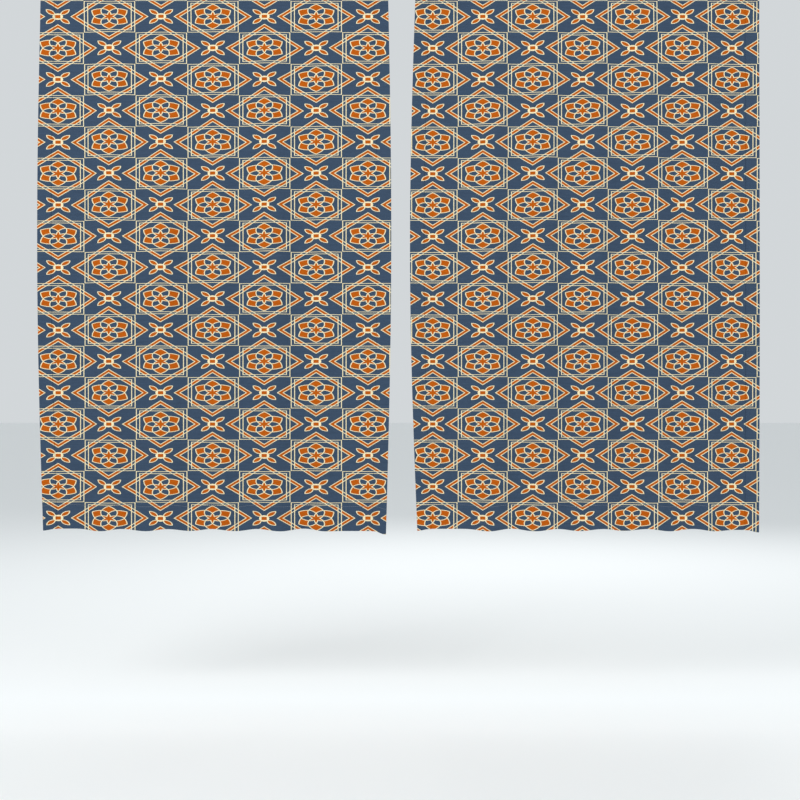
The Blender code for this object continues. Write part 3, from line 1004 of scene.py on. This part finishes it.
# %% One side view of the whole length
LAYER = 0.0007  # half the space between two layers
FOLD_R = 0.0008
POCKET_R = 0.0112
HEADER_BASE = HEADER_TOP - HEADER
HEM_SEAM = HEM_Z + BOTTOM_HEM - 0.002


def rows_between(start, end, count):
    return [start + (end - start) * i / count for i in range(count)]


def cloth_path():
    """Points of (depth, height), up the front and down the back, and which of them are stitched."""
    back_of_hem = FOLD_R * 2 - LAYER
    path = [(back_of_hem, z) for z in rows_between(HEM_Z + BOTTOM_HEM, HEM_SEAM, 1)]
    path += [(back_of_hem, z) for z in rows_between(HEM_SEAM, HEM_Z + FOLD_R, 6)]
    path += [
        (FOLD_R - LAYER + FOLD_R * cos(pi * i / 6), HEM_Z + FOLD_R - FOLD_R * sin(pi * i / 6))
        for i in range(6)
    ]
    path += [(-LAYER, z) for z in rows_between(HEM_Z + FOLD_R, HEM_SEAM, 6)]
    path += [(-LAYER, z) for z in rows_between(HEM_SEAM, STITCH_Z - 0.05, 96)]
    path += [(-LAYER, z) for z in rows_between(STITCH_Z - 0.05, STITCH_Z, 14)]
    start = len(path)
    path.append((-LAYER, STITCH_Z))
    for i in range(13):
        turn = radians(112 - 92 * i / 12)
        path.append((-POCKET_R * sin(turn), POCKET_R * cos(turn)))
    path += [(-LAYER, HEADER_BASE + (HEADER - LAYER) * i / 6) for i in range(7)]
    top = [(0, HEADER_TOP)]
    mirrored = [(-depth, height) for depth, height in reversed(path[start:])]
    tail = [(LAYER + 0.0004, STITCH_Z - 0.004), (LAYER + 0.0004, STITCH_Z - 0.008)]
    return path + top + mirrored + tail


PATH = cloth_path()
SEAM_ROWS = [
    i
    for i, (depth, height) in enumerate(PATH)
    if any(abs(height - z) < 1e-6 for z in (HEM_SEAM, STITCH_Z, HEADER_BASE))
]
LENGTHS = [0.0]
for (depth_a, height_a), (depth_b, height_b) in zip(PATH, PATH[1:]):
    LENGTHS.append(LENGTHS[-1] + Vector((depth_b - depth_a, height_b - height_a)).length)
HEM_TURN = next(i for i, (d, h) in enumerate(PATH) if abs(d + LAYER) < 1e-9)
FRONT_STITCH = next(i for i, (d, h) in enumerate(PATH) if abs(h - STITCH_Z) < 1e-6 and d < 0)
print(f"{LENGTHS[-1]:.3f} m of cloth from end to end, {len(SEAM_ROWS)} lines of stitching")

# %% [markdown]
# ## From path to cloth
#
# A flat grid is bent to this path, and it carries two maps. The first is the cloth's own place in
# metres, which the print reads. On the left curtain the print is 3% narrower than flat and on the
# right 7%, because the cloth is crowded that much. The second is the distance along and away from
# the nearest seam, which the stitches read.
#
# Solidify then gives the cloth its 0.35 mm, with the reverse material on the inside.

# %% Bending a grid
CROWDING = {"left": 0.966, "right": 0.933}
PRINT_START = {"left": -0.5163, "right": 0.0583}  # a rosette's middle
PRINT_HEIGHT = -0.0512
CLOTH = 0.00035


def outward(row):
    before, after = PATH[max(0, row - 1)], PATH[min(len(PATH) - 1, row + 1)]
    step = Vector((after[0] - before[0], after[1] - before[1])).normalized()
    return -step.y, step.x


def cloth_point(side, x, row, layer):
    """A place on the curtain: across at x, along at a row of the path, and so far out of the cloth."""
    depth, height = PATH[row]
    out_y, out_z = outward(row)
    lift = 0.0
    free = looseness(across_at(side, x, 0))
    if height <= STITCH_Z and row <= FRONT_STITCH:
        shift, lift = hang(side, x, height)
        depth += shift
    elif height > HEADER_BASE:
        frill = (height - HEADER_BASE) / HEADER
        depth += 0.0011 * frill * free * sin(2 * pi * x / 0.026 + 1.5 * sin(x * 23))
    elif depth * depth + height * height > (POCKET_R * 0.99) ** 2:
        layer += 0.0003 * free * (1 + sin(2 * pi * x / 0.026 + 1.5 * sin(x * 23)))
    point = Vector((x, ROD.y + depth + out_y * layer, height + lift + out_z * layer))
    along_cloth = LENGTHS[row] - LENGTHS[FRONT_STITCH]
    front_height = height + lift if row <= FRONT_STITCH else STITCH_Z
    if row > FRONT_STITCH:
        print_v = STITCH_Z + along_cloth
    elif row >= HEM_TURN:
        print_v = front_height
    else:
        print_v = HEM_Z + FOLD_R + lift + LENGTHS[row] - LENGTHS[HEM_TURN]
    return point, print_v - PRINT_HEIGHT


def print_u(side, x):
    return (x - PRINT_START[side]) / CROWDING[side]


def bent_cloth(name, marks, place):
    """A grid with one column for each mark and one row for each point of the path. place gives the
    point, the print's place, and its candidate seams as (along, away)."""
    grid = bmesh.new()
    columns, rows = len(marks) - 1, len(PATH) - 1
    bmesh.ops.create_grid(grid, x_segments=columns, y_segments=rows, size=0.5)
    spots = {}
    for vertex in grid.verts:
        column, row = round((vertex.co.x + 0.5) * columns), round((vertex.co.y + 0.5) * rows)
        vertex.co, print_at, seams = place(marks[column], row)
        spots[vertex] = (print_at, seams)
    cloth_map = grid.loops.layers.uv.new("cloth")
    seam_map = grid.loops.layers.uv.new("seam")
    for face in grid.faces:
        face.smooth = True
        sets = [spots[loop.vert][1] for loop in face.loops]
        nearest = min(range(len(sets[0])), key=lambda i: sum(abs(s[i][1]) for s in sets))
        for loop in face.loops:
            print_at, seams = spots[loop.vert]
            loop[cloth_map].uv = print_at
            loop[seam_map].uv = seams[nearest]
    return grid


def row_seams(u, row):
    return [(u, abs(LENGTHS[row] - LENGTHS[seam])) for seam in SEAM_ROWS]


def sewn_piece(grid, name, body, slot, *nodes):
    """The bent grid as a piece with the cloth's thickness, printed outside and plain inside."""
    mesh = to_mesh(grid, name)
    mesh.materials.append(COTTON_FACE)
    mesh.materials.append(COTTON_REVERSE)
    piece = bpy.data.objects.new(name, mesh)
    bpy.context.scene.collection.objects.link(piece)
    solidify = piece.modifiers.new("Cloth", "SOLIDIFY")
    solidify.thickness = CLOTH
    solidify.offset = 0
    solidify.material_offset = 1
    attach(piece, body)
    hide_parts(*nodes)
    return piece


# %% [markdown]
# ## The side hems
#
# Each side edge is turned in 25 mm and stitched. The turned strip is a piece of its own here, because
# the leading one slides along the rod when a curtain is drawn. It follows the same path as the rest,
# half a millimetre outside it in front, round the edge, and the same behind, so that the wide cloth
# ends between its two layers as in a sewn seam.

# %% Outer and leading hems
HEM_LAYER = 0.0005


def hem_marks():
    """Across the folded strip: distance in from the edge, side of the cloth, and its own distance."""
    outside = [(d, 1.0, -d) for d in rows_between(SIDE_HEM, HEM_LAYER, 8)]
    round_edge = [
        (HEM_LAYER * (1 - sin(pi * i / 6)), cos(pi * i / 6), HEM_LAYER * (pi * i / 6 - 1))
        for i in range(7)
    ]
    inside = [(d, -1.0, d) for d in reversed(rows_between(SIDE_HEM, HEM_LAYER, 8))]
    return outside + round_edge + inside


HEM_MARKS = hem_marks()


def build_hem(side, edges, outward_x, name, body, slot, *nodes):
    def place(mark, row):
        inset, face_side, own = mark
        drop = min(1, max(0, PATH[row][1] / HEM_Z))
        edge = edge_x(edges, side, drop)
        x = edge - outward_x * inset
        point, print_v = cloth_point(side, x, row, HEM_LAYER * face_side)
        u = print_u(side, edge + outward_x * own)
        down = (LENGTHS[row], abs(inset - SIDE_HEM + 0.002))
        return point, (u, print_v), [*row_seams(u, row), down]

    marks = HEM_MARKS if outward_x > 0 else list(reversed(HEM_MARKS))
    grid = bent_cloth(name, marks, place)
    return sewn_piece(grid, name, body, slot, *nodes)


for side, sign in SIDES.items():
    outer = build_hem(
        side,
        OUTER_EDGE,
        sign,
        f"{side}_outer_side_hem",
        f"{side}_curtain",
        "hem_cotton",
        f"{side}_outer_hem",
        f"{side}_outer_heading",
    )
    leading = build_hem(
        side,
        LEADING_EDGE,
        -sign,
        f"{side}_leading_side_hem",
        f"{side}_leading_edge",
        "hem_cotton",
        f"{side}_leading_hem",
        f"{side}_leading_heading",
    )
print("four side hems,", len(outer.data.polygons), "faces each")

# %% [markdown]
# ## The wide cloth between the hems
#
# The main cloth tucks 16 mm under each side hem. It is built as it hangs, and each curtain's cloth gets a
# mesh of its own.

# %% Main cloth
TUCK = 0.016
for side, sign in SIDES.items():

    def place(share, row):
        drop = min(1, max(0, PATH[row][1] / HEM_Z))
        outer = edge_x(OUTER_EDGE, side, drop) - sign * (SIDE_HEM - TUCK)
        leading = edge_x(LEADING_EDGE, side, drop) + sign * (SIDE_HEM - TUCK)
        start, end = min(outer, leading), max(outer, leading)
        x = start + (end - start) * share
        point, print_v = cloth_point(side, x, row, 0)
        u = print_u(side, x)
        return point, (u, print_v), row_seams(u, row)

    name = f"{side}_curtain_cloth"
    grid = bent_cloth(name, rows_between(0, 1, 180) + [1], place)
    piece = sewn_piece(
        grid,
        name,
        f"{side}_curtain",
        "printed_cotton",
        f"{side}_heading",
        f"{side}_panel",
        f"{side}_bottom_hem",
    )
    anchor = edge_x(OUTER_EDGE, side, 0) - sign * SIDE_HEM
    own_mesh(piece)

# %% [markdown]
# ## Floor, light and camera
#
# A pale floor and a soft pale world stand in for a bright room. A large lamp high in front on the left
# models the folds without hard shadows, a weaker one on the right fills them, and one behind lights
# the back. The camera looks straight at the curtains from 2.5 m, level with the lower middle.

# %% Stage
floor_grid = bmesh.new()
bmesh.ops.create_grid(floor_grid, x_segments=1, y_segments=1, size=30)
bmesh.ops.translate(floor_grid, verts=floor_grid.verts, vec=(0, 0, HEM_Z - 0.30))
floor = bpy.data.objects.new("floor", to_mesh(floor_grid, "floor"))
floor_paint, _ = new_material("matt_pale_paint", 0.9)
floor_paint.node_tree.nodes["Principled BSDF"].inputs["Base Color"].default_value = colour("#F3F5F5")
floor.data.materials.append(floor_paint)
bpy.context.scene.collection.objects.link(floor)

world = bpy.data.worlds.new("soft_room")
bpy.context.scene.world = world
world.use_nodes = True
sky = world.node_tree.nodes["Background"]
sky.inputs["Color"].default_value = colour("#EFF4F7")
sky.inputs["Strength"].default_value = 0.75
bpy.context.scene.view_settings.view_transform = "Standard"


def lamp(name, place, aim, width, watts):
    light = bpy.data.lights.new(name, "AREA")
    light.shape, light.size, light.energy = "SQUARE", width, watts
    holder = bpy.data.objects.new(name, light)
    holder.location = place
    holder.rotation_euler = (Vector(aim) - Vector(place)).to_track_quat("-Z", "Y").to_euler()
    bpy.context.scene.collection.objects.link(holder)


lamp("key", (-1.6, -2.3, 1.1), (0, 0, -0.5), 1.6, 42)
lamp("fill", (2.2, -2.0, 0.2), (0, 0, -0.5), 1.8, 16)
lamp("back", (0.6, 2.4, 1.0), (0, 0, -0.5), 1.8, 30)

lens = bpy.data.cameras.new("camera")
lens.lens, lens.sensor_width = 63.3, 36
camera = bpy.data.objects.new("camera", lens)
camera.location = (0, -2.575, -0.7325)
camera.rotation_euler = (radians(90), 0, 0)
bpy.context.scene.collection.objects.link(camera)
bpy.context.scene.camera = camera
print("stage set")
